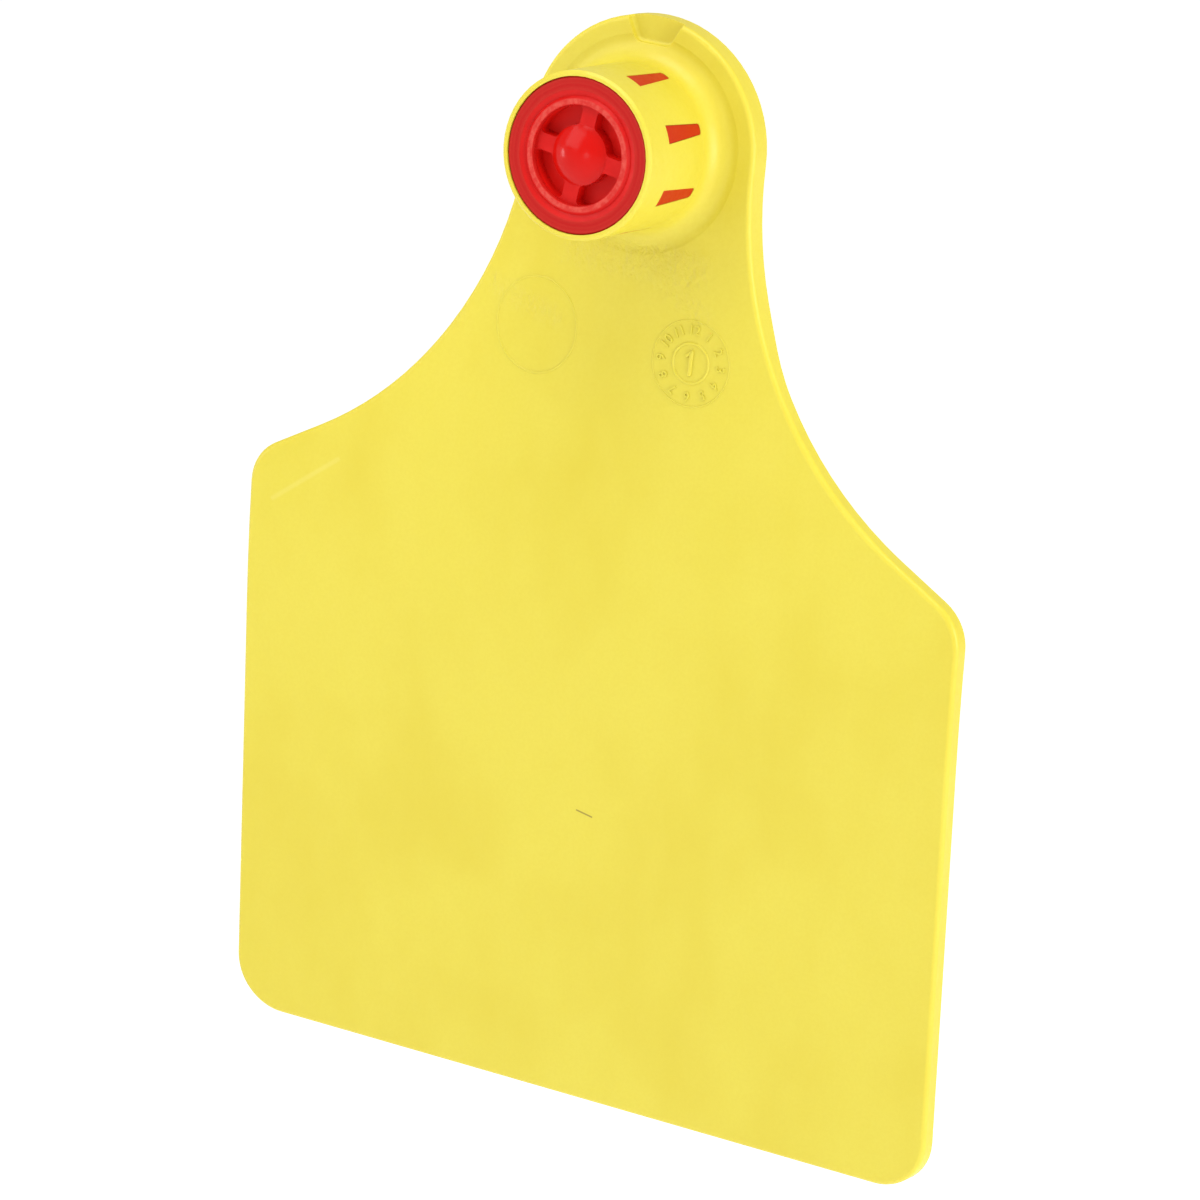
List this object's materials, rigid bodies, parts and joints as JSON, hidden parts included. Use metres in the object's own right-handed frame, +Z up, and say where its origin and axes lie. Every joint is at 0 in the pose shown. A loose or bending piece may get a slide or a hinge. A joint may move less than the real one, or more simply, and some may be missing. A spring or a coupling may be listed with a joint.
{
  "type": "livestock ear tag",
  "caption": "Female half of a large livestock ear tag: a soft yellow panel with a round head and a hollow windowed button that holds a red lock insert.",
  "frame": {"origin": "on the button's axis, where the stud leaves the throat of the lock insert", "axes": "+Z up as the tag hangs, +X across the panel, the button points along -Y and the stud leaves along +Y"},
  "size_m": [0.074, 0.0224, 0.1025],
  "materials": {
    "soft_yellow": "satin soft plastic with a fine moulded grain",
    "hard_red": "glossy in the well, matt on the outer band of the face"
  },
  "bodies": {
    "root": {"tag_panel": "soft_yellow", "lock_insert": "hard_red"}
  },
  "joints": []
}
